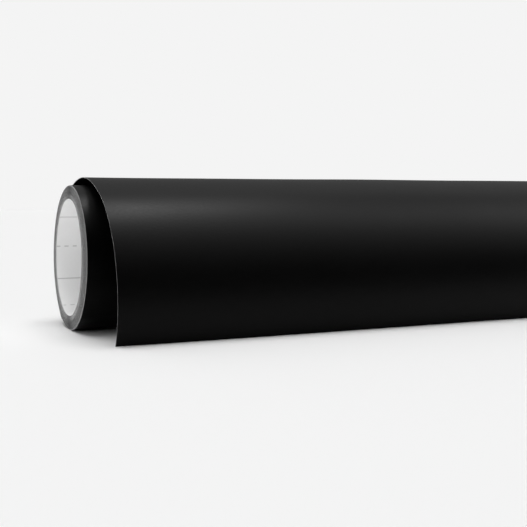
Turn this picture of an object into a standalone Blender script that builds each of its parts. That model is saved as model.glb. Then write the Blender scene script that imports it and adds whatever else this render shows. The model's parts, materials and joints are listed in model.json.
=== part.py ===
"""Small coreless roll of calendered sign vinyl with its outer end sprung loose.

The web is one laminate of three layers: a black face film outside, a thin coat of
pressure-sensitive adhesive under it, and a white release liner inside.  It is wound from
the bore outwards, from the bottom over the back and the top to the front, and its last
stretch has sprung off the tight windings: it laps over the top with a growing gap and
curls down in front until its end edge stands on the floor.

Frame: +X along the roll, -Y the side of the free end, +Z up, metres.
"""
import math

import bmesh
import bpy
from mathutils import Vector

# Driving dimensions
ROLL_DIAMETER = 0.053          # tight windings, outside
WALL = 0.0054                  # from the bore to the outside of the tight windings
WEB_WIDTH = 0.3048             # standard twelve-inch media
WEB = 0.00018                  # whole laminate
LINER = 0.000085
FILM = 0.000075
LAMINATE_GAP = 0.000003        # between neighbouring layers of the laminate
WINDING_GAP = 0.00001          # the same gap in the wound bands, where each layer is thicker
LAP_CLEARANCE = 0.0003         # the loose turn over the tight windings, where it starts
TOP_GAP = 0.0028               # outer face of the loose turn above the tight windings
STRIP_GAP = 0.0003             # between stretches that a hinge joins
PEEL_GAP = 0.0004              # at the line where the face film peels
CONING = 0.0002                # each inner band stands out of the left end by this much more
SKEW = 0.0041                  # the loose end has slipped this far to the right
FACET = 10                     # degrees for each facet of the wound bands

# The wound web, as angles about the axis from +Y towards +Z, growing as it is wound
WINDING_START = 175
BAND_SPAN = {"inner": 640, "middle": 650, "outer": 640}
WINDING_END = WINDING_START + sum(BAND_SPAN.values())
PITCH = WALL / ((WINDING_END - WINDING_START) / 360 + 1)
OUTER_RADIUS = ROLL_DIAMETER / 2

# The loose turn and the tail.  The slope is how far the web has turned down from level.
LIFT_OFF = WINDING_END % 360 - 360
GAP_FULL_AT = 65               # degrees, where the loose turn has reached its full gap
TOP_SLOPE = 2
TAIL_ARCS = (                  # radius of the outer face, slope at the end of the arc
    (0.0628, 25),
    (0.0410, 87),
    (0.0328, 180),
)
TAIL_UPPER_LENGTH = 0.0252
TAIL_MIDDLE_LENGTH = 0.0280
TAIL_LOWER_FILM = 0.0110       # face film that stays on the liner below the last hinge
TAIL_STEP = 0.0055             # facets along the tail

COLOURS = {                    # base colour, roughness
    "film": ((0.012, 0.012, 0.013, 1.0), 0.42),
    "adhesive": ((0.55, 0.55, 0.52, 1.0), 0.30),
    "liner": ((0.72, 0.73, 0.74, 1.0), 0.50),
}


def clear_scene():
    for thing in list(bpy.data.objects):
        bpy.data.objects.remove(thing, do_unlink=True)


def layer_material(layer):
    colour, roughness = COLOURS[layer]
    material = bpy.data.materials.new(layer)
    material.use_nodes = True
    shader = material.node_tree.nodes["Principled BSDF"]
    shader.inputs["Base Color"].default_value = colour
    shader.inputs["Roughness"].default_value = roughness
    shader.inputs["Metallic"].default_value = 0.0
    return material


def layer_depths(thickness, gap):
    """Depth of each layer's outer and inner face below the outer face of the laminate."""
    film = thickness * FILM / WEB
    liner = thickness * LINER / WEB
    return {
        "film": (0.0, film - gap),
        "adhesive": (film, thickness - liner - gap),
        "liner": (thickness - liner, thickness - gap),
    }


def wound_station(angle):
    """Point and outward direction on the outer face of the wound web, seen along the roll."""
    turned = math.radians(angle)
    radius = OUTER_RADIUS - PITCH * (WINDING_END - angle) / 360
    outward = Vector((0, math.cos(turned), math.sin(turned)))
    return outward * radius, outward


def cut_back(end, neighbour, amount):
    """A stretch's end station, moved along its last facet so that the facet keeps its plane."""
    part = amount / (neighbour[0] - end[0]).length
    return end[0].lerp(neighbour[0], part), end[1].lerp(neighbour[1], part)


def wound_stations(band):
    """Stations of one band, cut back at both ends by half the gap between two stretches."""
    names = list(BAND_SPAN)
    start = WINDING_START + sum(BAND_SPAN[name] for name in names[:names.index(band)])
    end = start + BAND_SPAN[band]
    stations = [wound_station(angle) for angle in range(start, end + 1, FACET)]
    stations[0] = cut_back(stations[0], stations[1], STRIP_GAP / 2)
    stations[-1] = cut_back(stations[-1], stations[-2], STRIP_GAP / 2)
    return stations


def ease(amount):
    """Smooth step from 0 to 1."""
    t = min(max(amount, 0.0), 1.0)
    return t * t * (3 - 2 * t)


def loose_radius(angle):
    """Radius of the loose turn's outer face: it leaves the windings and gains the top gap."""
    start = LAP_CLEARANCE + WEB
    grown = ease((angle - LIFT_OFF) / (GAP_FULL_AT - LIFT_OFF))
    return OUTER_RADIUS + start + (TOP_GAP - start) * grown


def loose_stations():
    """Stations of the loose turn, from the lift-off line to the level of the first hinge."""
    last = 90 + TOP_SLOPE
    stations = []
    for angle in list(range(LIFT_OFF, last, FACET)) + [last]:
        turned = math.radians(angle)
        outward = Vector((0, math.cos(turned), math.sin(turned)))
        stations.append((outward * loose_radius(angle), outward))
    stations[0] = cut_back(stations[0], stations[1], STRIP_GAP / 2)
    stations[-1] = cut_back(stations[-1], stations[-2], STRIP_GAP / 2)
    return stations


def tail_station(distance):
    """Station on the tail's outer face, a distance along it from the first hinge.

    The tail is a chain of tangent arcs.  Going round an arc of radius r from slope a to
    slope b moves the point by r (sin a - sin b) in Y and by r (cos b - cos a) in Z.
    """
    slope = math.radians(TOP_SLOPE)
    radius = loose_radius(90 + TOP_SLOPE)
    point = Vector((0, -radius * math.sin(slope), radius * math.cos(slope)))
    left = distance
    for arc_radius, arc_end in TAIL_ARCS:
        turn = min(math.radians(arc_end) - slope, left / arc_radius)
        after = slope + turn
        point.y += arc_radius * (math.sin(slope) - math.sin(after))
        point.z += arc_radius * (math.cos(after) - math.cos(slope))
        left -= arc_radius * turn
        slope = after
        if left <= 0:
            break
    return point, Vector((0, -math.sin(slope), math.cos(slope)))


def tail_stations(start, end):
    count = max(2, round((end - start) / TAIL_STEP))
    return [tail_station(start + (end - start) * i / count) for i in range(count + 1)]


def tail_length(floor):
    """Length at which the inner edge of the tail's end comes down to the floor."""
    low = 0.06
    high = 0.11
    while high - low > 1e-7:
        middle = (low + high) / 2
        point, outward = tail_station(middle)
        lowest = min(point.z, (point - outward * WEB).z)
        if lowest > floor:
            low = middle
        else:
            high = middle
    return low


def strip(name, layer, stations, depths, left_edges, frame):
    """One layer of one stretch: quads between its two faces, extruded across the web."""
    top, bottom = depths[layer]
    shape = bmesh.new()
    rows = []
    for (point, outward), left in zip(stations, left_edges):
        edge = Vector((left, 0, 0)) - frame["place"]
        rows.append((shape.verts.new(point - outward * top + edge),
                     shape.verts.new(point - outward * bottom + edge)))
    for (outer, inner), (next_outer, next_inner) in zip(rows, rows[1:]):
        shape.faces.new((outer, inner, next_inner, next_outer))
    grown = bmesh.ops.extrude_face_region(shape, geom=list(shape.faces))
    moved = [item for item in grown["geom"] if isinstance(item, bmesh.types.BMVert)]
    bmesh.ops.translate(shape, verts=moved, vec=(WEB_WIDTH, 0, 0))
    bmesh.ops.recalc_face_normals(shape, faces=list(shape.faces))
    mesh = bpy.data.meshes.new(name)
    shape.to_mesh(mesh)
    shape.free()
    mesh.shade_smooth()
    mesh.set_sharp_from_angle(angle=math.radians(30))
    piece = bpy.data.objects.new(name, mesh)
    bpy.context.scene.collection.objects.link(piece)
    piece.parent = frame["empty"]
    piece.data.materials.append(MATERIALS[layer])


def axis_frame(name, place, parent):
    """Empty on a joint's axis; the stretches that the joint moves are its children."""
    empty = bpy.data.objects.new(name, None)
    bpy.context.scene.collection.objects.link(empty)
    empty.location = place
    if parent:
        empty.parent = parent["empty"]
        empty.location = place - parent["place"]
    return {"empty": empty, "place": place}


def whole_web(stretch, stations, left_edges, frame, thickness=WEB, gap=LAMINATE_GAP):
    """All three layers of one stretch of the web."""
    depths = layer_depths(thickness, gap)
    for layer in depths:
        strip(f"{layer}_{stretch}", layer, stations, depths, left_edges, frame)


def windings(roll):
    """Three bands of tight windings; the inner ones slide out along the roll."""
    for inwards, band in enumerate(reversed(list(BAND_SPAN))):
        frame = roll
        if inwards:
            frame = axis_frame(f"{band}_windings_slide", roll["place"], roll)
        stations = wound_stations(band)
        left_edges = [-CONING * inwards] * len(stations)
        whole_web(f"{band}_windings", stations, left_edges, frame, PITCH, WINDING_GAP)


def loose_end(roll, floor):
    """The loose turn, the tail in three hinged stretches, and the film lead that peels."""
    turn = axis_frame("unwind_axis", roll["place"], roll)
    stations = loose_stations()
    steps = len(stations) - 1
    left_edges = [SKEW * ease(i / steps) for i in range(steps + 1)]
    whole_web("loose_turn", stations, left_edges, turn)

    first = TAIL_UPPER_LENGTH
    second = first + TAIL_MIDDLE_LENGTH
    peel = second + TAIL_LOWER_FILM
    end = tail_length(floor)
    parent = turn
    depths = layer_depths(WEB, LAMINATE_GAP)
    for stretch, start, stop in (("tail_upper", 0, first), ("tail_middle", first, second)):
        parent = axis_frame(f"{stretch}_axis", hinge_place(start), parent)
        stations = tail_stations(start + STRIP_GAP / 2, stop - STRIP_GAP / 2)
        whole_web(stretch, stations, [SKEW] * len(stations), parent)

    lower = axis_frame("tail_lower_axis", hinge_place(second), parent)
    film = axis_frame("film_peel_axis", peel_place(peel), lower)
    kept = tail_stations(second + STRIP_GAP / 2, peel - PEEL_GAP / 2)
    lead = tail_stations(peel + PEEL_GAP / 2, end)
    whole = kept + lead
    strip("liner_tail_lower", "liner", whole, depths, [SKEW] * len(whole), lower)
    for layer in ("adhesive", "film"):
        strip(f"{layer}_tail_lower", layer, kept, depths, [SKEW] * len(kept), lower)
        strip(f"{layer}_lead", layer, lead, depths, [SKEW] * len(lead), film)


def hinge_place(distance):
    """A hinge of the tail lies in the middle of the laminate."""
    point, outward = tail_station(distance)
    return point - outward * WEB / 2


def peel_place(distance):
    """The peel line lies in the middle of the film and its adhesive."""
    point, outward = tail_station(distance)
    return point - outward * (WEB - LINER) / 2


def stand_on_origin(roll):
    """Move the roll so that the origin is the middle of the underside of its box."""
    bpy.context.view_layer.update()
    corners = []
    for piece in bpy.data.objects:
        if piece.type == "MESH":
            corners += [piece.matrix_world @ vert.co for vert in piece.data.vertices]
    low = Vector([min(corner[i] for corner in corners) for i in range(3)])
    high = Vector([max(corner[i] for corner in corners) for i in range(3)])
    roll["empty"].location = Vector((-(low.x + high.x) / 2, -(low.y + high.y) / 2, -low.z))


clear_scene()
MATERIALS = {layer: layer_material(layer) for layer in COLOURS}
ROLL = axis_frame("roll_axis", Vector((0, 0, 0)), None)
windings(ROLL)
loose_end(ROLL, min(point.z for point, outward in wound_stations("outer")))
stand_on_origin(ROLL)
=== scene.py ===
import json
import math

import bpy
import numpy as np
from mathutils import Euler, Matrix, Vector


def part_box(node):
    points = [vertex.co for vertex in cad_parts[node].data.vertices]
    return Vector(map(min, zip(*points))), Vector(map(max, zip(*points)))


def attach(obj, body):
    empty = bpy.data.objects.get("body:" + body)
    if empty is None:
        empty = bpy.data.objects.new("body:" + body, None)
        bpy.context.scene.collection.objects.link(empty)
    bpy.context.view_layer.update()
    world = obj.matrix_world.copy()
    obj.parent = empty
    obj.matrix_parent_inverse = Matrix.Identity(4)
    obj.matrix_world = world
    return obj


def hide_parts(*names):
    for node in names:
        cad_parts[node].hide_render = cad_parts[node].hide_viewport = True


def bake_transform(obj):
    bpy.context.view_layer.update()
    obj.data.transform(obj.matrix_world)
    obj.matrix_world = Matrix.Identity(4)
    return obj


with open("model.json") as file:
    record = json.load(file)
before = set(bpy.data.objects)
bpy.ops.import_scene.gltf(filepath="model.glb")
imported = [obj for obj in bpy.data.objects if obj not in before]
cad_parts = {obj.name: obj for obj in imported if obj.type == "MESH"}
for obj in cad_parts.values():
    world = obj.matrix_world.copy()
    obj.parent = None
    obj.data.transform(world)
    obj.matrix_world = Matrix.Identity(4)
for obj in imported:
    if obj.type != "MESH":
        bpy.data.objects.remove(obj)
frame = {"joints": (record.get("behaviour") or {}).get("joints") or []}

bl_info = {
    "name": "Roll of sign vinyl",
    "version": (1, 0, 0),
    "blender": (4, 5, 0),
    "location": "3D View > Sidebar > Sign Vinyl",
    "description": "Winds a small coreless roll of sign vinyl whose loose end curls down in front",
    "category": "Add Mesh",
}

# Places that the frame gives.  The roll's axis runs along X; paths are (Y, Z) seen along it.
JOINTS = {joint["name"]: joint for joint in frame["joints"]}
AXIS = np.array(JOINTS["unwind"]["pos_m"][1:])
LEFT_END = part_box("film_outer_windings")[0].x
RIGHT_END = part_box("film_outer_windings")[1].x
WEB_WIDTH = RIGHT_END - LEFT_END
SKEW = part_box("film_tail_upper")[0].x - LEFT_END

MM = 0.001
LAYERS = ("film", "adhesive", "liner")
BANDS = ("inner", "middle", "outer")


# ---------------------------------------------------------------- settings

def length(name, default, description):
    return bpy.props.FloatProperty(
        name=name, description=description, default=default, unit="LENGTH", precision=6)


def angle(name, degrees, description):
    return bpy.props.FloatProperty(
        name=name, description=description, default=math.radians(degrees), subtype="ANGLE")


def number(name, default, description):
    return bpy.props.FloatProperty(name=name, description=description, default=default)


def count(name, default, description):
    return bpy.props.IntProperty(name=name, description=description, default=default, min=1)


def colour(name, default, description):
    return bpy.props.FloatVectorProperty(
        name=name, description=description, default=default, subtype="COLOR", size=3)


class WebSettings(bpy.types.PropertyGroup):
    """The laminate, and how it is wound."""
    radius: length("Outer radius", 0.0265, "Radius of the tight windings")
    film: length("Face film", 0.000072, "Thickness of the face film")
    adhesive: length("Adhesive", 0.000018, "Thickness of the adhesive coat")
    liner: length("Liner", 0.000081, "Thickness of the release liner")
    turns: number("Turns between the cut edges", 29 + 130 / 360, "Turns of the tight windings")
    lift_off: angle("Lift-off", -55, "Where the web leaves the windings, from +Y towards +Z")
    lap: angle("Lap", 8, "How far the loose turn starts behind the lift-off line")
    lap_gap: length("Lap clearance", 0.0003, "Loose turn over the windings where it starts")
    top_gap: length("Top gap", 0.0028, "Outer face of the loose turn above the windings")
    gap_full: angle("Full gap", 65, "Where the loose turn has its full gap")
    facets: count("Facets a turn", 120, "Facets in each turn of the windings")
    tuck: length("Tuck", 0.0028, "How far the film outruns the liner where windings and lap end")
    coning: length("Coning", 0.0003, "How far the inmost turn stands out at the left end")
    oval: length("Oval bore", 0.0012, "How much nearer the axis the bore's wall is at its sides")
    shoulder: length("Shoulder", 0.0006, "Width of the worn outer corner of the slit edge")
    stand_out: length("Stand-out", 0.00015, "How far the tight windings stand out on the left")
    wander: length("Wander", 0.000035, "How unevenly the turns lie at the slit edge")


class TailSettings(bpy.types.PropertyGroup):
    """The free end: arcs of the outer face, each named by its radius and the slope it ends at."""
    top_slope: angle("Top slope", 2, "Slope where the tail starts")
    upper_radius: length("Upper radius", 0.0628, "Radius of the flatter stretch over the front")
    upper_slope: angle("Upper slope", 25, "Slope at the end of the flatter stretch")
    front_radius: length("Front radius", 0.0410, "Radius of the front bulge")
    front_slope: angle("Front slope", 87, "Slope at the end of the front bulge")
    foot_radius: length("Foot radius", 0.0328, "Radius of the stretch down to the end edge")
    smoothing: length("Smoothing", 0.004, "Length over which one arc's bend fades into the next")
    across: count("Columns", 48, "Columns of facets across the web")
    ripple: length("Ripple", 0.00006, "Height of the slow ripples in the loose web")
    flare: length("Flare", 0.0013, "How much higher the loose web stands at its right end")
    crest: length("Crest", 0.0006, "How much further in the left edge sits over the top")


class FinishSettings(bpy.types.PropertyGroup):
    """Colours of the three layers and of the liner's printed grid."""
    film: colour("Film", (0.0006, 0.0006, 0.0006), "Face film")
    film_roughness: number("Film roughness", 0.42, "Roughness of the face film")
    adhesive: colour("Adhesive", (0.012, 0.012, 0.013), "Clear adhesive over the black film")
    liner: colour("Liner", (0.82, 0.82, 0.82), "Liner's printed face")
    release: colour("Release face", (0.72, 0.72, 0.72), "Liner's silicone-coated face")
    # Painted shade: the loose liner goes to this near-black close to the windings, standing in for
    # the shadow in the narrow gap there.
    gap: colour("Gap", (0.0015, 0.0015, 0.0015), "Liner deep in the gap to the windings")
    gap_radius: length("Gap radius", 0.0300, "Distance from the axis up to which the gap is dark")
    gap_fade: length("Gap fade", 0.0060, "Distance over which the gap opens to the light")
    line: colour("Grid line", (0.50, 0.50, 0.50), "Printed grid line")
    film_edge: colour("Film edge", (0.028, 0.028, 0.028), "Slit edge of the film")
    liner_edge: colour("Liner edge", (0.34, 0.34, 0.34), "Slit edge of the liner")
    # Painted highlight: slit edges are drawn lighter beyond this distance from the axis, as light
    # caught by the windings' worn outer corner.
    rim_radius: length("Rim radius", 0.0259, "Distance from the axis where the rim lightens")
    rim_fade: length("Rim fade", 0.0003, "Distance over which the rim lightens")
    grid: length("Grid", 0.0127, "Spacing of the printed lines, solid and dashed in turn")
    line_width: length("Line width", 0.00042, "Width of a printed line")
    dash: length("Dash", 0.0016, "Length of a dash")
    dash_pitch: length("Dash pitch", 0.003175, "From one dash to the next")
    dash_shift: length("Dash shift", 0.0008, "From the web's edge to the middle of a dash")
    grid_angle: angle("Grid angle", 44.2, "Where a solid line crosses the bore's wall")


class StageSettings(bpy.types.PropertyGroup):
    """Floor, light and camera."""
    backdrop: number("Backdrop", 0.905, "Brightness of the floor and the backdrop")
    camera: bpy.props.FloatVectorProperty(
        name="Camera", description="Camera from the left end of the roll's axis",
        default=(-0.0751, -0.3244, 0.0197), unit="LENGTH", size=3)
    turn: angle("Turn", -25.338, "How far the camera is turned towards +X")
    tilt: angle("Tilt", 0.479, "How far the camera looks up")
    lens: number("Lens", 60.73, "Focal length in millimetres")
    shift: number("Shift", -0.128, "Lens shift down")


# ------------------------------------------------------------------ shapes

def ease(amount):
    """Smooth step: 3 t^2 - 2 t^3 with t held between 0 and 1."""
    t = np.clip(amount, 0.0, 1.0)
    return t * t * (3 - 2 * t)


def polar(radius, turned):
    """Points at a radius and an angle about the roll's axis, and the outward directions there."""
    outward = np.stack([np.cos(turned), np.sin(turned)], axis=1)
    return AXIS + outward * radius[:, None], outward


def travelled(points):
    """Distance along a path up to each of its points."""
    steps = np.linalg.norm(np.diff(points, axis=0), axis=1)
    return np.concatenate([[0.0], np.cumsum(steps)])


def laminate(web):
    """Thickness of the three layers together."""
    return web.film + web.adhesive + web.liner


def dip(web, from_cut):
    """How far the film dips where a stretch is cut, at a distance from the cut.

    It eases down over the tuck by nine tenths of the adhesive and the liner, which end there.
    """
    return 0.9 * (web.adhesive + web.liner) * ease(1 - from_cut / web.tuck)


def wound_path(web):
    """The tight windings' outer face: a spiral whose radius gains one laminate each turn.

    r = R - t (a_end - a) / 2 pi, from the cut edge in the bore to the lift-off line, less a share
    of the oval that grows with the depth and with the squared cosine of the angle.  A bell curve
    round the lowest line flattens every turn where the roll lies on the floor.  Over the tuck at
    the end the radius dips, so that the film's end lies on the turn below, over the liner's.
    """
    bell_width = 0.2
    start = web.lift_off - web.turns * 2 * math.pi
    turned = np.linspace(start, web.lift_off, round(web.turns * web.facets) + 1)
    depth = laminate(web) * (web.lift_off - turned) / (2 * math.pi)
    sides = web.oval * depth / depth[0] * np.cos(turned) ** 2
    from_lowest = np.mod(turned + math.pi / 2 + math.pi, 2 * math.pi) - math.pi
    under = np.exp(-(from_lowest / bell_width) ** 2)
    radius = web.radius - depth - sides - (web.radius - AXIS[1]) * under
    radius -= dip(web, (web.lift_off - turned) * web.radius)
    points, outward = polar(radius, turned)
    return {"points": points, "outward": outward, "turned": turned, "radius": radius,
            "along": travelled(points)}


def loose_radius(web, turned):
    """Outer face of the loose turn: one laminate and the lap clearance over the windings at the
    lift-off line, eased out to the full gap at the top."""
    lapped = web.lap_gap + laminate(web)
    gained = ease((turned - web.lift_off) / (web.gap_full - web.lift_off))
    return web.radius + lapped + (web.top_gap - lapped) * gained


def loose_path(web, tail):
    """The loose web's outer face, from where it eases off the windings to its end edge.

    Each step turns by its length times the bend there.  The bends are those of the loose turn
    and of the tail's three arcs, run together over a short length, so the slope has no kink.
    The path ends where it would come too near the floor, and its last stretch is let down by
    less than a step, so that the end edge is just clear of the floor.
    """
    step = 0.25 * MM
    clear = 0.06 * MM
    let_down = 20 * MM
    samples = 600
    top = math.pi / 2 + tail.top_slope
    turned = np.linspace(web.lift_off - web.lap, top, samples)
    points, _ = polar(loose_radius(web, turned), turned)
    along = travelled(points)
    even = np.arange(0, along[-1], step)
    points = np.stack([np.interp(even, along, points[:, i]) for i in range(2)], axis=1)
    start = points[0]
    heading = np.unwrap(np.arctan2(*np.diff(points, axis=0).T[::-1]))
    slopes = (tail.top_slope, tail.upper_slope, tail.front_slope, math.pi)
    radii = (tail.upper_radius, tail.front_radius, tail.foot_radius)
    arcs = [np.full(round((b - a) * r / step), step / r)
            for a, b, r in zip(slopes, slopes[1:], radii)]
    bends = np.concatenate([np.diff(heading), *arcs])
    window = np.hanning(round(2 * tail.smoothing / step) + 1)
    padded = np.pad(bends, len(window) // 2, mode="edge")
    bends = np.convolve(padded, window / window.sum(), mode="valid")
    heading = heading[0] + np.concatenate([[0.0], np.cumsum(bends)])
    strides = np.stack([np.cos(heading), np.sin(heading)], axis=1) * step
    points = start + np.concatenate([[[0.0, 0.0]], np.cumsum(strides, axis=0)])
    heading = np.append(heading, heading[-1])
    outward = np.stack([np.sin(heading), -np.cos(heading)], axis=1)
    lowest = np.minimum(points[:, 1], (points - outward * laminate(web))[:, 1])
    past_top = np.arange(len(points)) > len(even)
    end = np.argmax(past_top & (lowest < clear))
    points, outward, along = points[:end], outward[:end], step * np.arange(end)
    lift = lowest[end - 1] - clear
    points[:, 1] -= lift * ease(1 + (along - along[-1]) / let_down)
    return {"points": points, "outward": outward, "along": along, "top": len(even) * step}


def layer_faces(web, layer):
    """Depths of a layer's outer and inner face below the laminate's outer face."""
    thickness = {"film": web.film, "adhesive": web.adhesive, "liner": web.liner}
    top = sum(thickness[above] for above in LAYERS[:LAYERS.index(layer)])
    return top, top + thickness[layer]


def slit_edge(web, radius, turned):
    """How far the slit edge stands in from the roll's end plane, at a radius and an angle.

    The inner turns stand out as a shallow cone, the outer corner is worn round as a quarter of
    an ellipse half as deep as it is wide, and waves of two unlike pitches make each turn lie a
    little unevenly.
    """
    inmost = web.radius - web.turns * laminate(web)
    cone = -web.coning * (web.radius - radius) / (web.radius - inmost)
    into = np.clip((radius - web.radius + web.shoulder) / web.shoulder, 0.0, 0.98)
    worn = web.shoulder / 2 * (1 - np.sqrt(1 - into * into))
    waves = np.sin(radius * 5200 + 2 * turned) + np.sin(radius * 13100 - 3 * turned)
    return cone + worn + web.wander / 2 * waves


# Slow waves of the loose web: share of the height, radians a metre across and along the web, and
# phase.
RIPPLES = ((1.0, 47, 31, 0.0), (0.6, 91, -57, 1.3), (0.4, 23, 120, 0.4))


def ripples(height, across, along):
    """Sum of the slow waves, eased in from nothing over the first stretch off the roll."""
    flat, eased = 20 * MM, 50 * MM
    waves = sum(share * np.sin(across * crosswise + along * lengthwise + start)
                for share, crosswise, lengthwise, start in RIPPLES)
    return height * waves * ease((along - flat) / eased)


def ribbon(name, faces, uv, materials):
    """A closed band between an outer and an inner face, each a grid (row, column, 3).

    Columns run left to right on the outer face and back on the inner one, so one closed ring
    of points belongs to each row, and the rings at both ends are bridged.  The materials are
    those of the outer face, the inner face and the cut edges.
    """
    outer, inner = faces
    rows, columns = outer.shape[:2]
    ring = 2 * columns
    points = np.concatenate([outer, inner[:, ::-1]], axis=1).reshape(-1, 3)
    row = np.arange(rows - 1)[:, None] * ring
    spot = np.arange(ring)[None, :]
    after = (spot + 1) % ring
    walls = np.stack([row + spot, row + after, row + ring + after, row + ring + spot], axis=2)
    outside, inside, cut = 0, 1, 2
    kind = np.select([spot == columns - 1, spot == ring - 1, spot < columns],
                     [cut, cut, outside], inside)
    kind = np.tile(kind, (rows - 1, 1))
    place = np.arange(columns - 1)
    first = np.stack([place + 1, place, ring - 1 - place, ring - 2 - place], axis=1)
    last = first[:, ::-1] + (rows - 1) * ring
    quads = np.concatenate([walls.reshape(-1, 4), first, last])
    kinds = np.concatenate([kind.ravel(), np.full(2 * (columns - 1), cut)])
    mesh = bpy.data.meshes.new(name)
    mesh.from_pydata(points, [], quads[:, ::-1].tolist())
    mesh.polygons.foreach_set("material_index", kinds.astype(np.int32))
    for material in materials:
        mesh.materials.append(material)
    spots = np.concatenate([uv, uv[:, ::-1]], axis=1).reshape(-1, 2)
    corner = np.empty(len(mesh.loops), np.int32)
    mesh.loops.foreach_get("vertex_index", corner)
    layer = mesh.uv_layers.new(name="web")
    layer.data.foreach_set("uv", spots[corner].astype(np.float32).ravel())
    mesh.shade_smooth()
    mesh.set_sharp_from_angle(angle=math.radians(40))
    mesh.validate()
    piece = bpy.data.objects.new(name, mesh)
    bpy.context.scene.collection.objects.link(piece)
    return piece


def wound_layer(name, web, path, rows, layer, grid_start):
    """One layer of one band of windings, slit clean at both ends.

    The right end is cut flat apart from its worn corner, with its waves a radian further on.
    """
    points, outward = path["points"][rows], path["outward"][rows]
    radius, turned = path["radius"][rows], path["turned"][rows]
    along = path["along"][rows] - grid_start
    faces = []
    for depth in layer_faces(web, layer):
        place = points - outward * depth
        left = LEFT_END - web.stand_out + slit_edge(web, radius - depth, turned)
        right = RIGHT_END - np.maximum(slit_edge(web, radius - depth, turned + 1.0), 0.0)
        faces.append(np.stack([np.column_stack([left, place]), np.column_stack([right, place])],
                              axis=1))
    uv = np.stack([np.column_stack([np.zeros_like(along), along]),
                   np.column_stack([np.full_like(along, WEB_WIDTH), along])], axis=1)
    return ribbon(name, faces, uv, FINISHES[layer])


def loose_layer(name, web, tail, path, rows, layer, grid_start):
    """One layer of the loose web between two rows of its path.

    It slips sideways as it leaves the roll, a little further over the top, and stands higher
    towards the right end: by the flare times the share of the width and a sine over the path.
    Where it starts, the film dips over the liner's end.
    """
    crest_width = 0.16
    rows = slice(rows[0], rows[1] + 1)
    points, outward, along = (path[key][rows] for key in ("points", "outward", "along"))
    place = along / path["top"]
    slip = SKEW * ease(place) + tail.crest * np.exp(-((place - 1.0) / crest_width) ** 2)
    across = np.linspace(0.0, WEB_WIDTH, tail.across + 1)
    height = ripples(tail.ripple, across[None, :], along[:, None])
    arch = np.sin(math.pi * along / path["along"][-1])
    height = height + tail.flare * arch[:, None] * across[None, :] / WEB_WIDTH
    height = height - dip(web, along)[:, None]
    x = LEFT_END + slip[:, None] + across[None, :]
    faces = []
    for depth in layer_faces(web, layer):
        offset = (height - depth)[:, :, None] * outward[:, None, :]
        faces.append(np.concatenate([x[:, :, None], points[:, None, :] + offset], axis=2))
    uv = np.stack(np.broadcast_arrays(across[None, :], along[:, None] - grid_start), axis=2)
    if layer != "liner":
        return ribbon(name, faces, uv, FINISHES[layer])
    piece = ribbon(name, faces, uv, FINISHES["loose_liner"])
    piece.visible_diffuse = False
    piece.visible_glossy = False
    return piece


# --------------------------------------------------------------- materials

class Expression:
    """A shader value that adds Math nodes as it is used in a Python expression."""

    def __init__(self, nodes, socket):
        self.nodes = nodes
        self.socket = socket

    def joined(self, operation, *values):
        node = self.nodes.add("ShaderNodeMath", {"operation": operation}, *values)
        return Expression(self.nodes, node.outputs[0])

    def __add__(self, other):
        return self.joined("ADD", self, other)

    def __radd__(self, other):
        return self.joined("ADD", other, self)

    def __sub__(self, other):
        return self.joined("SUBTRACT", self, other)

    def __rsub__(self, other):
        return self.joined("SUBTRACT", other, self)

    def __mul__(self, other):
        return self.joined("MULTIPLY", self, other)

    def __rmul__(self, other):
        return self.joined("MULTIPLY", other, self)

    def __truediv__(self, other):
        return self.joined("DIVIDE", self, other)

    def __mod__(self, other):
        return self.joined("FLOORED_MODULO", self, other)

    def __lt__(self, other):
        return self.joined("LESS_THAN", self, other)

    def __abs__(self):
        return self.joined("ABSOLUTE", self)

    def __pow__(self, other):
        return self.joined("POWER", self, other)

    def at_most(self, other):
        return self.joined("MINIMUM", self, other)

    def at_least(self, other):
        return self.joined("MAXIMUM", self, other)

    def clamped(self):
        return self.at_least(0.0).at_most(1.0)


class Nodes:
    """The nodes of one material, or of the world."""

    def __init__(self, owner):
        owner.use_nodes = True
        self.tree = owner.node_tree
        self.tree.nodes.clear()

    def add(self, kind, settings=None, *values, **named):
        """Add a node: its settings first, then its sockets in order or by name."""
        node = self.tree.nodes.new(kind)
        for key, value in (settings or {}).items():
            if key == "stops":
                self.set_stops(node, value)
            else:
                setattr(node, key, value)
        pairs = list(enumerate(values))
        pairs += [(key.replace("_", " "), value) for key, value in named.items()]
        for key, value in pairs:
            self.plug(node.inputs[key], value)
        return node

    def plug(self, socket, value):
        """Link a value to a socket, or set the socket to it."""
        if isinstance(value, Expression):
            self.tree.links.new(value.socket, socket)
        elif isinstance(value, bpy.types.NodeSocket):
            self.tree.links.new(value, socket)
        else:
            socket.default_value = value

    def set_stops(self, node, stops):
        """Give a ramp its stops: place and colour of each."""
        elements = node.color_ramp.elements
        while len(elements) < len(stops):
            elements.new(0.5)
        for element, (position, tone) in zip(elements, stops):
            element.position = position
            element.color = tone

    def value(self, node, output=0):
        return Expression(self, node.outputs[output])

    def split(self, vector):
        parts = self.add("ShaderNodeSeparateXYZ", {}, vector)
        return [Expression(self, parts.outputs[i]) for i in range(3)]

    def noise(self, vector, kind):
        """One of the kinds of noise that NOISE lists."""
        scale, detail, roughness = NOISE[kind]
        node = self.add("ShaderNodeTexNoise", {"noise_dimensions": "3D"}, Vector=vector,
                        Scale=scale, Detail=detail, Roughness=roughness)
        return self.value(node)

    def mix(self, amount, first, second):
        """Colour that goes from the first to the second with the amount."""
        node = self.add("ShaderNodeMix", {"data_type": "RGBA"})
        for key, value in (("Factor_Float", amount), ("A_Color", first), ("B_Color", second)):
            self.plug(next(s for s in node.inputs if s.identifier == key), value)
        return next(s for s in node.outputs if s.identifier == "Result_Color")

    def shade(self, constants, **links):
        """Principled shader with its constants set on its sockets, and the output node."""
        shader = self.add("ShaderNodeBsdfPrincipled", {}, **links)
        for key, value in constants.items():
            shader.inputs[key].default_value = value
        self.add("ShaderNodeOutputMaterial", {}, Surface=shader.outputs[0])
        return shader


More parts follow.
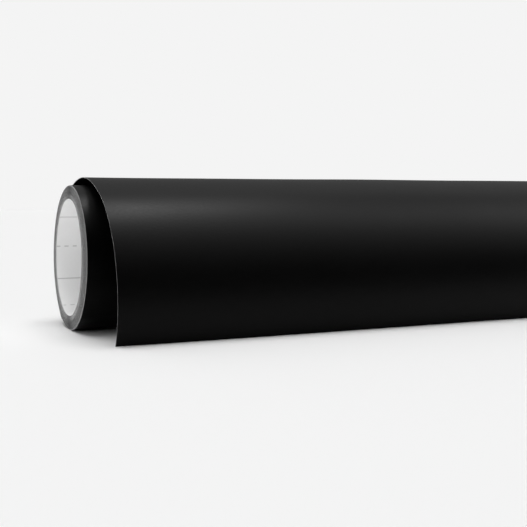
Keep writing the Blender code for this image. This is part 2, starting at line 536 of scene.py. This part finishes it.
# Kinds of noise: spots a metre, detail and roughness.
NOISE = {
    "film pebble": (2600.0, 3.0, 0.55),
    "film grain": (1000.0, 2.0, 0.5),
    "film cloud": (60.0, 3.0, 0.6),
    "paper mottle": (900.0, 3.0, 0.6),
    "silicone cloud": (120.0, 3.0, 0.6),
    "orange peel": (420.0, 2.0, 0.5),
    "slit fibres": (3000.0, 2.0, 0.6),
}


def rgba(tone, factor=1.0):
    """A tone times a factor, as an opaque colour."""
    return (*[channel * factor for channel in tone], 1.0)


def web_place(nodes):
    """Distances across and along the web, in metres, from the piece's own UV map."""
    node = nodes.add("ShaderNodeUVMap", {"uv_map": "web"})
    across, along, _ = nodes.split(node.outputs[0])
    return node.outputs[0], across, along


def film_face(finish):
    """Matte calendered vinyl: a fine pebbled skin under slow changes of gloss."""
    material = bpy.data.materials.new("vinyl_face")
    nodes = Nodes(material)
    place, _, _ = web_place(nodes)
    pebble = nodes.noise(place, "film pebble")
    cloud = nodes.noise(place, "film cloud")
    grain = nodes.noise(place, "film grain")
    tone = nodes.mix((cloud * 0.7 + grain * 0.3).clamped(),
                     rgba(finish.film, 0.8), rgba(finish.film, 1.25))
    roughness = finish.film_roughness + (cloud - 0.5) * 0.06 + (grain - 0.5) * 0.1
    bump = nodes.add("ShaderNodeBump", {}, Strength=0.35, Distance=0.0003,
                     Height=pebble * 0.06 + grain * 0.22)
    nodes.shade({"Metallic": 0.0, "Specular IOR Level": 0.09}, Base_Color=tone,
                Roughness=roughness, Normal=bump.outputs[0])
    return material


def from_axis(nodes):
    """Distance from the roll's axis, in metres."""
    where = nodes.add("ShaderNodeTexCoord").outputs["Object"]
    _, y, z = nodes.split(where)
    return ((y - AXIS[0]) ** 2.0 + (z - AXIS[1]) ** 2.0) ** 0.5


def line_mask(finish, run, cross):
    """Printed lines at every grid step of run: solid at even steps, dashed along cross at odd."""
    period = 2 * finish.grid
    half = finish.line_width / 2
    solid = abs((run + finish.grid) % period - finish.grid) < half
    dashed = abs(run % period - finish.grid) < half
    dash = (cross - finish.dash_shift + finish.dash / 2) % finish.dash_pitch < finish.dash
    return solid + dashed * dash


def printed_liner(name, finish, painted_gap_shade):
    """Satin liner paper with the printed grid and a faint mottle of fibres.

    On the loose web it is painted dark where the gap to the windings is a few millimetres or less:
    painted shade for the shadow in that narrow gap, not a colour of the real liner.
    """
    material = bpy.data.materials.new(name)
    nodes = Nodes(material)
    place, across, along = web_place(nodes)
    mottle = nodes.noise(place, "paper mottle")
    paper = nodes.mix(mottle, rgba(finish.liner, 0.985), rgba(finish.liner, 1.015))
    lines = (line_mask(finish, along, across) + line_mask(finish, across, along)).clamped()
    ink = lines * (0.82 + 0.18 * mottle)
    face = nodes.mix(ink, paper, rgba(finish.line))
    # Painted shade: near-black close to the windings, fading to the printed face further out.
    if painted_gap_shade:
        gap = from_axis(nodes) - finish.gap_radius
        face = nodes.mix((gap / finish.gap_fade).clamped(), rgba(finish.gap), face)
    bump = nodes.add("ShaderNodeBump", {}, Strength=0.15, Distance=0.00002, Height=mottle)
    nodes.shade({"Metallic": 0.0, "Specular IOR Level": 0.4},
                Base_Color=face, Roughness=0.42 + mottle * 0.1, Normal=bump.outputs[0])
    return material


def release_face(finish):
    """The liner's silicone-coated face: smooth, faintly clouded."""
    material = bpy.data.materials.new("liner_release_face")
    nodes = Nodes(material)
    place, _, _ = web_place(nodes)
    cloud = nodes.noise(place, "silicone cloud")
    nodes.shade({"Metallic": 0.0, "Specular IOR Level": 0.5},
                Base_Color=nodes.mix(cloud, rgba(finish.release, 0.97), rgba(finish.release, 1.03)),
                Roughness=0.16 + cloud * 0.1)
    return material


def adhesive_face(finish):
    """Clear adhesive over black film: dark and wet-looking, with a faint orange peel."""
    material = bpy.data.materials.new("adhesive_coat")
    nodes = Nodes(material)
    place, _, _ = web_place(nodes)
    peel = nodes.noise(place, "orange peel")
    bump = nodes.add("ShaderNodeBump", {}, Strength=0.3, Distance=0.00003, Height=peel)
    nodes.shade({"Metallic": 0.0, "Specular IOR Level": 0.5},
                Base_Color=nodes.mix(peel, rgba(finish.adhesive, 0.9), rgba(finish.adhesive, 1.1)),
                Roughness=0.14 + peel * 0.12, Normal=bump.outputs[0])
    return material


def slit_face(name, finish, tone, shade_streak_depth, rim_highlight_gain):
    """A slit edge: fibres, painted shade as dark radial streaks at its top and foot, and a painted
    highlight at its worn outer corner.

    The painted shade streaks fade out sideways from a line just in front of the axis; they stand in
    for the darker reflection of the edge's fine grooves there.  Beyond the rim's radius the edge is
    painted lighter, a highlight on the worn corner; the same lighter tone takes in the whole edge
    of the loose web.
    """
    # Painted shade: dark radial streaks at the edge's top and foot stand in for its darker
    # reflection there.
    shade_streak_place, shade_streak_fade = -0.6 * MM, 2.6
    material = bpy.data.materials.new(name)
    nodes = Nodes(material)
    where = nodes.add("ShaderNodeTexCoord").outputs["Object"]
    _, y, _ = nodes.split(where)
    lean = abs(y - (AXIS[0] + shade_streak_place)) / from_axis(nodes)
    painted_shade_streak = (1.0 - lean * shade_streak_fade).clamped() ** 1.5
    # Painted highlight on the worn outer corner; it also lightens the whole slit edge of the loose
    # web.
    rim = ((from_axis(nodes) - finish.rim_radius) / finish.rim_fade).clamped()
    fibres = nodes.noise(where, "slit fibres")
    # The painted shade streaks darken the fibres' tone, by the streak depth at most.
    shade = (1.0 - shade_streak_depth * painted_shade_streak) * (0.85 + 0.3 * fibres)
    face = nodes.mix(shade.clamped(), rgba(tone, 0.05), rgba(tone))
    nodes.shade({"Metallic": 0.0, "Specular IOR Level": 0.3},
                Base_Color=nodes.mix(rim, face, rgba(tone, rim_highlight_gain)),
                Roughness=0.55 + 0.2 * fibres)
    return material


def make_finishes(finish):
    """Materials of each layer: outer face, inner face, slit edge.

    The slit edges' last two values are the depth of the painted shade streaks and how much lighter
    the painted rim highlight makes the edge.
    """
    film = film_face(finish)
    adhesive = adhesive_face(finish)
    film_slit = slit_face("film_slit_edge", finish, finish.film_edge, 0.6, 2.4)
    liner_slit = slit_face("liner_slit_edge", finish, finish.liner_edge, 0.78, 1.9)
    FINISHES["film"] = (film, film, film_slit)
    FINISHES["adhesive"] = (adhesive, adhesive, film_slit)
    release = release_face(finish)
    FINISHES["liner"] = (release, printed_liner("liner_printed_face", finish, False), liner_slit)
    # The loose liner's printed face carries the painted gap shade.
    FINISHES["loose_liner"] = (
        release, printed_liner("loose_liner_printed_face", finish, True), liner_slit)


# Each layer's three materials: outer face, inner face and slit edge.
FINISHES = {}


# --------------------------------------------------------------- operators

def stand_for(piece, layer, *nodes):
    """Hide the CAD nodes that a piece stands for."""
    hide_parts(*nodes)


def declare(path, rows):
    """Work out the length of a loose stretch of the web; nothing is done with it."""
    long = float(path["along"][rows[1]] - path["along"][rows[0]])


def grid_start(context):
    """Distance along the windings at which a solid printed line crosses the bore's wall."""
    web, finish = context.scene.vinyl_web, context.scene.vinyl_finish
    path = wound_path(web)
    start = path["turned"][0]
    wanted = start + (finish.grid_angle - start) % (2 * math.pi)
    return float(np.interp(wanted, path["turned"], path["along"]))


def web_end(context):
    """Distance along the web at which the tight windings end."""
    return float(wound_path(context.scene.vinyl_web)["along"][-1])


def crossing(piece, path, row, before, after):
    """Bake a piece's placement into its mesh; the hinge's line is worked out, but the piece is not
    bent.
    """
    run = Vector((0.0, *(path["points"][row + 1] - path["points"][row - 1]))).normalized()
    middle = Vector((0.0, *path["points"][row]))
    middle - run * before
    middle + run * after
    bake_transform(piece)


def layer_rows(web, path, rows, layer):
    """Rows of one layer of a loose stretch: where the web is cut, the film starts first."""
    if layer == "film" or rows[0] > 0:
        return rows
    return int(np.searchsorted(path["along"], web.tuck)), rows[1]


class VINYL_OT_windings(bpy.types.Operator):
    """Wind the three bands of tight windings, layer by layer"""
    bl_idname = "vinyl.windings"
    bl_label = "Tight windings"

    def execute(self, context):
        web = context.scene.vinyl_web
        path = wound_path(web)
        ends = np.linspace(0, len(path["turned"]) - 1, len(BANDS) + 1).round().astype(int)
        tucked = round(web.tuck / (web.radius * 2 * math.pi / web.facets))
        for band, first, last in zip(BANDS, ends, ends[1:]):
            for layer in LAYERS:
                name = f"{layer}_{band}_windings"
                cut_back = tucked if band == BANDS[-1] and layer != "film" else 0
                piece = wound_layer(f"{name}_wound", web, path,
                                    slice(first, last + 1 - cut_back), layer, grid_start(context))
                stand_for(piece, layer, name)
                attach(piece, f"{band}_windings")
                if name == "liner_inner_windings":
                    bpy.data.collections["lit_bore"].objects.link(piece)
        return {"FINISHED"}


def hinge_rows(path):
    """Rows of the loose web's path at its four hinges, the last of which is the peel line."""
    def nearest(joint):
        place = np.array(JOINTS[joint]["pos_m"][1:])
        return int(np.argmin(np.linalg.norm(path["points"] - place, axis=1)))

    return {joint: nearest(joint) for joint in
            ("tail_lift", "tail_uncurl", "tail_uncurl_lower", "film_peel")}


def seam_rows(path, hinges):
    """Rows of the loose web's start, of the seams midway between hinges, and of its end edge."""
    rows = list(hinges.values())
    middles = [(a + b) // 2 for a, b in zip(rows, rows[1:])]
    return [0, *middles, len(path["along"]) - 1]


# Where the loose web bends: the bodies before and after a joint, and how far before and after
# the joint's line the bend reaches.
BENDS = (("loose_turn", "tail_upper", "tail_lift", 9 * MM, 9 * MM),
         ("tail_upper", "tail_middle", "tail_uncurl", 12 * MM, 12 * MM),
         ("tail_middle", "tail_lower", "tail_uncurl_lower", 11.5 * MM, 5.5 * MM))
PEEL_BEND = 7 * MM


class VINYL_OT_loose_web(bpy.types.Operator):
    """Make the loose turn and the tail"""
    bl_idname = "vinyl.loose_web"
    bl_label = "Loose turn and tail"

    def execute(self, context):
        web, tail = context.scene.vinyl_web, context.scene.vinyl_tail
        path = loose_path(web, tail)
        hinges = hinge_rows(path)
        seams = seam_rows(path, hinges)
        start = grid_start(context) - web_end(context)
        for (body, next_body, joint, before, after), rows in zip(BENDS, zip(seams, seams[1:])):
            for layer in LAYERS:
                own = layer_rows(web, path, rows, layer)
                piece = loose_layer(f"{layer}_{body}_web", web, tail, path, own, layer, start)
                stand_for(piece, layer, f"{layer}_{body}")
                crossing(piece, path, hinges[joint], before, after)
                declare(path, own)
        rows = seams[-2:]
        liner = loose_layer("liner_tail_lower_web", web, tail, path, rows, "liner", start)
        stand_for(liner, "liner", "liner_tail_lower")
        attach(liner, "tail_lower")
        declare(path, rows)
        return {"FINISHED"}


class VINYL_OT_film_lead(bpy.types.Operator):
    """Make the lead of the face film and its adhesive, the layers that peel off the liner"""
    bl_idname = "vinyl.film_lead"
    bl_label = "Lead of the film"

    def execute(self, context):
        web, tail = context.scene.vinyl_web, context.scene.vinyl_tail
        path = loose_path(web, tail)
        hinges = hinge_rows(path)
        rows = seam_rows(path, hinges)[-2:]
        start = grid_start(context) - web_end(context)
        for layer in ("film", "adhesive"):
            piece = loose_layer(f"{layer}_lead_web", web, tail, path, rows, layer, start)
            stand_for(piece, layer, f"{layer}_tail_lower", f"{layer}_lead")
            crossing(piece, path, hinges["film_peel"],
                     0.0, PEEL_BEND)
            declare(path, rows)
        return {"FINISHED"}


# Directions about the roll's axis, in degrees from the front horizon over the top, and the
# brightness that the glossy faces reflect from there.
SHEEN = ((35, 0.0), (50, 0.75), (65, 0.82), (80, 2.70), (95, 2.30), (110, 0.1), (130, 0.65),
         (155, 0.26), (180, 0.5))

# Panels that show only in glossy faces: name, direction, size, strength; how far they stand from
# the place that they face, and that place from the left end of the roll's axis.
HIGHLIGHTS = (("highlight", (0.27, 0.14, 0.95), 0.14, 1.5),
              ("rim_light", (-0.10, 0.30, 0.95), 0.16, 1.15))
HIGHLIGHT_DISTANCE = 0.65
HIGHLIGHT_AIM = (0.006, -0.04, 0.02)

# The panel that lights only the bore: place from the bore's mouth, size, strength.
BORE_LIGHT = ((-0.10, -0.02, -0.018), 0.03, 0.110)

# Broad suns: name, direction, spread in degrees, share of the floor's light; the rest of that
# light comes from the sky.
SUNS = (("overhead", (0.0, 0.0, 1.0), 50, 0.67),
        ("left", (-1.0, -0.25, 0.45), 50, 0.07),
        ("back", (-0.2, 1.0, 1.0), 60, 0.17))
SKY = 0.09


def floor_and_backdrop(stage):
    """A pale floor as wide as the eye sees, and a world of the same brightness behind it.

    What glossy faces reflect changes with the angle about the roll's axis only.  The ramp's ends
    meet far under the floor.
    """
    size = 6.0
    ramp_start = 135 / 360
    corners = [(-size, -size, 0), (size, -size, 0), (size, size, 0), (-size, size, 0)]
    mesh = bpy.data.meshes.new("floor")
    mesh.from_pydata(corners, [], [(0, 1, 2, 3)])
    floor = bpy.data.objects.new("floor", mesh)
    bpy.context.scene.collection.objects.link(floor)
    material = bpy.data.materials.new("floor")
    nodes = Nodes(material)
    nodes.shade({"Base Color": rgba([stage.backdrop] * 3), "Roughness": 1.0,
                 "Specular IOR Level": 0.0})
    mesh.materials.append(material)

    world = bpy.data.worlds.new("studio")
    bpy.context.scene.world = world
    nodes = Nodes(world)
    _, y, z = nodes.split(nodes.add("ShaderNodeTexCoord").outputs["Generated"])
    turned = z.joined("ARCTAN2", z, 0.0 - y) / (2 * math.pi)
    ramp = nodes.add("ShaderNodeValToRGB", {
        "stops": [(ramp_start + degrees / 360, rgba([level] * 3)) for degrees, level in SHEEN]},
        (turned + ramp_start) % 1.0)
    ray = nodes.add("ShaderNodeLightPath")
    seen = nodes.value(ray, "Is Camera Ray")
    mirrored = nodes.value(ray, "Is Glossy Ray")
    strength = (seen * stage.backdrop + (1.0 - seen)
                * (mirrored * nodes.value(ramp) + (1.0 - mirrored) * SKY))
    background = nodes.add("ShaderNodeBackground", {}, Color=(1.0, 1.0, 1.0, 1.0),
                           Strength=strength)
    nodes.add("ShaderNodeOutputWorld", {}, Surface=background.outputs[0])


def sun(name, direction, spread, share):
    """A broad sun that gives the floor a share of its light, and is never seen in a gloss."""
    light = bpy.data.lights.new(name, "SUN")
    towards = Vector(direction).normalized()
    light.energy = share * math.pi / towards.z
    light.angle = math.radians(spread)
    lamp = bpy.data.objects.new(name, light)
    lamp.rotation_euler = towards.to_track_quat("Z", "Y").to_euler()
    lamp.visible_glossy = False
    bpy.context.scene.collection.objects.link(lamp)


def panel(name, place, aim, size, energy):
    """A soft square panel at a place, turned to face a point."""
    light = bpy.data.lights.new(name, "AREA")
    light.shape = "SQUARE"
    light.size = size
    light.energy = energy
    lamp = bpy.data.objects.new(name, light)
    lamp.location = place
    lamp.rotation_euler = (Vector(place) - Vector(aim)).to_track_quat("Z", "Y").to_euler()
    lamp.visible_camera = False
    bpy.context.scene.collection.objects.link(lamp)
    return lamp


def highlight(name, direction, size, energy):
    """A panel above the left end that shows only as a sheen on glossy faces."""
    aim = Vector((LEFT_END, *AXIS)) + Vector(HIGHLIGHT_AIM)
    place = aim + Vector(direction).normalized() * HIGHLIGHT_DISTANCE
    lamp = panel(name, place, aim, size, energy)
    lamp.visible_diffuse = False


def bore_light(place, size, energy):
    """A small panel before the bore's mouth that lights only the liner inside it."""
    mouth = Vector((LEFT_END, *AXIS))
    lamp = panel("bore_light", mouth + Vector(place), mouth, size, energy)
    lamp.visible_glossy = False
    lamp.light_linking.receiver_collection = bpy.data.collections.new("lit_bore")


class VINYL_OT_stage(bpy.types.Operator):
    """Set out the floor, the soft studio light and the camera"""
    bl_idname = "vinyl.stage"
    bl_label = "Floor, light and camera"

    def execute(self, context):
        stage = context.scene.vinyl_stage
        context.scene.view_settings.view_transform = "Standard"
        floor_and_backdrop(stage)
        for lamp in SUNS:
            sun(*lamp)
        for lamp in HIGHLIGHTS:
            highlight(*lamp)
        bore_light(*BORE_LIGHT)
        lens = bpy.data.cameras.new("camera")
        lens.lens = stage.lens
        lens.sensor_width = 36
        lens.shift_y = stage.shift
        camera = bpy.data.objects.new("camera", lens)
        camera.location = Vector((LEFT_END, *AXIS)) + Vector(stage.camera)
        camera.rotation_euler = Euler((math.pi / 2 + stage.tilt, 0.0, stage.turn))
        context.scene.collection.objects.link(camera)
        context.scene.camera = camera
        return {"FINISHED"}


class VINYL_PT_panel(bpy.types.Panel):
    """Sidebar panel with the roll's sizes, finishes and steps"""
    bl_idname = "VINYL_PT_panel"
    bl_label = "Sign Vinyl"
    bl_space_type = "VIEW_3D"
    bl_region_type = "UI"
    bl_category = "Sign Vinyl"

    def draw(self, context):
        for settings in ("vinyl_web", "vinyl_tail", "vinyl_finish", "vinyl_stage"):
            box = self.layout.box()
            group = getattr(context.scene, settings)
            for key in group.bl_rna.properties.keys():
                if key not in ("rna_type", "name"):
                    box.prop(group, key)
        for operator in OPERATORS:
            self.layout.operator(operator.bl_idname)


OPERATORS = (VINYL_OT_stage, VINYL_OT_windings, VINYL_OT_loose_web, VINYL_OT_film_lead)
SETTINGS = {"vinyl_web": WebSettings, "vinyl_tail": TailSettings,
            "vinyl_finish": FinishSettings, "vinyl_stage": StageSettings}


def register():
    for group in (*SETTINGS.values(), *OPERATORS, VINYL_PT_panel):
        bpy.utils.register_class(group)
    for name, group in SETTINGS.items():
        setattr(bpy.types.Scene, name, bpy.props.PointerProperty(type=group))


def unregister():
    for name in SETTINGS:
        delattr(bpy.types.Scene, name)
    for group in (VINYL_PT_panel, *reversed(OPERATORS), *reversed(SETTINGS.values())):
        bpy.utils.unregister_class(group)


def main():
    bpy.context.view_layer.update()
    register()
    make_finishes(bpy.context.scene.vinyl_finish)
    bpy.ops.vinyl.stage()
    bpy.ops.vinyl.windings()
    bpy.ops.vinyl.loose_web()
    bpy.ops.vinyl.film_lead()


if __name__ == "__main__":
    main()
